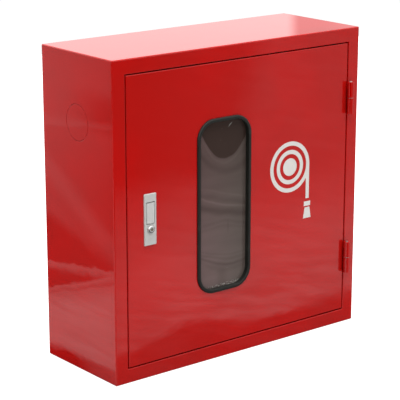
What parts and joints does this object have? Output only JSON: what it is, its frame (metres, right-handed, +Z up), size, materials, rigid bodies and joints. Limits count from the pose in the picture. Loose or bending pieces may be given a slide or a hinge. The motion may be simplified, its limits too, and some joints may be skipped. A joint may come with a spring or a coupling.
{
  "type": "fire hose rack cabinet",
  "caption": "Wall cabinet for a rolled fire hose: red steel box, inset glazed door with a flap lock and barrel hinges, and inside it a turning hose reel, an angle valve and a nozzle.",
  "frame": {"origin": "centre of the four wall holes, on the back panel's rear face, which lies on the wall", "axes": "+X to the right as a person faces the door, +Y from the cabinet into the wall, +Z up"},
  "size_m": [0.65, 0.2545, 0.66],
  "materials": {
    "red_paint": "gloss powder coat",
    "bright_steel": "zinc plated",
    "gasket_rubber": "satin",
    "smoked_acrylic": "gloss, smoked",
    "white_vinyl": "vinyl film",
    "satin_zinc": "satin zinc casting",
    "satin_flap": "satin",
    "chrome": "polished",
    "key_brass": "machined",
    "nylon": "moulded",
    "hub_aluminium": "turned",
    "hose_canvas": "woven jacket",
    "coupling_aluminium": "machined",
    "brass": "cast and machined",
    "red_iron": "enamel",
    "nozzle_grip": "moulded",
    "bumper_rubber": "moulded"
  },
  "bodies": {
    "cabinet": {"cabinet_shell": "red_paint", "front_frame": "red_paint", "door_stop": "red_paint", "back_panel": "red_paint", "door_buffers": "gasket_rubber", "hinge_frame_knuckles": "red_paint", "hinge_pins": "bright_steel", "hinge_washers": "bright_steel", "rack_bracket": "red_paint", "rack_nuts": "bright_steel", "reel_axle": "bright_steel", "axle_washer": "bright_steel", "axle_nut": "bright_steel", "valve_end_hose": "hose_canvas", "nozzle_end_hose": "hose_canvas", "hose_bands": "bright_steel", "coupling_shanks": "coupling_aluminium", "coupling_nuts": "coupling_aluminium", "coupling_gaskets": "gasket_rubber", "nozzle_body": "brass", "nozzle_baffle": "brass", "nozzle_clip": "bright_steel", "valve_body": "brass", "bonnet_gasket": "gasket_rubber", "valve_bonnet": "brass", "gland_packing": "gasket_rubber", "gland_nut": "brass", "valve_saddle": "red_paint", "valve_u_bolt": "bright_steel", "u_bolt_nuts": "bright_steel"},
    "door": {"door_panel": "red_paint", "window_gasket": "gasket_rubber", "window_pane": "smoked_acrylic", "door_pictogram": "white_vinyl", "hinge_door_knuckles": "red_paint", "lock_body": "satin_zinc", "flap_pin": "bright_steel", "flap_spring": "bright_steel", "latch_spring": "bright_steel", "button_spring": "bright_steel", "lock_clamps": "bright_steel", "lock_screws": "bright_steel"},
    "flap": {"lock_flap": "satin_flap"},
    "latch": {"latch_bolt": "satin_zinc"},
    "button": {"push_button": "chrome"},
    "key": {"key_core": "key_brass"},
    "reel": {"reel_hub": "hub_aluminium", "reel_bushes": "nylon", "reel_front_flange": "red_paint", "reel_rear_flange": "red_paint", "flange_screws": "bright_steel", "hose_roll": "hose_canvas"},
    "valve_plug": {"valve_disc": "brass", "seat_washer": "gasket_rubber"},
    "valve_spindle": {"valve_stem": "brass", "handwheel": "red_iron", "handwheel_nut": "bright_steel"},
    "nozzle_seal": {"nozzle_o_ring": "gasket_rubber"},
    "nozzle_tip": {"nozzle_sleeve": "nozzle_grip", "nozzle_bumper": "bumper_rubber"}
  },
  "joints": [
    {"name": "door_hinge", "type": "hinge", "parent": "cabinet", "child": "door", "pos_m": [0.2965, -0.2475, 0], "axis": [0, 0, 1], "range_deg": [0, 180]},
    {"name": "flap_pull", "type": "hinge", "parent": "door", "child": "flap", "pos_m": [-0.238, -0.2414, 0.035], "axis": [-1, 0, 0], "range_deg": [0, 50], "deforming": ["flap_spring"]},
    {"name": "latch_slide", "type": "slide", "parent": "door", "child": "latch", "axis": [1, 0, 0], "range_m": [0, 0.00701], "deforming": ["latch_spring"]},
    {"name": "button_press", "type": "slide", "parent": "door", "child": "button", "axis": [0, 1, 0], "range_m": [0, 0.003], "deforming": ["button_spring"]},
    {"name": "key_turn", "type": "hinge", "parent": "button", "child": "key", "pos_m": [-0.238, -0.24, -0.0166], "axis": [0, -1, 0], "range_deg": [0, 90]},
    {"name": "reel_spin", "type": "hinge", "parent": "cabinet", "child": "reel", "pos_m": [0.027, -0.12, -0.045], "axis": [0, -1, 0], "continuous": true},
    {"name": "valve_lift", "type": "slide", "parent": "cabinet", "child": "valve_plug", "axis": [-1, 0, 0], "range_m": [0, 0.01601]},
    {"name": "valve_turn", "type": "hinge", "parent": "valve_plug", "child": "valve_spindle", "pos_m": [0.1, -0.12, 0.19], "axis": [-1, 0, 0], "range_deg": [0, 1440]},
    {"name": "nozzle_draw", "type": "slide", "parent": "cabinet", "child": "nozzle_seal", "axis": [-1, 0, 0], "range_m": [0, 0.00601]},
    {"name": "nozzle_turn", "type": "hinge", "parent": "nozzle_seal", "child": "nozzle_tip", "pos_m": [0.25, -0.12, -0.218], "axis": [1, 0, 0], "range_deg": [0, 180]}
  ],
  "couplings": [
    {"joint": "latch_slide", "follows": "flap_pull", "m_per_rad": 0.0080214},
    {"joint": "valve_lift", "follows": "valve_turn", "m_per_rad": 0.00063662},
    {"joint": "nozzle_draw", "follows": "nozzle_turn", "m_per_rad": 0.0019099}
  ]
}
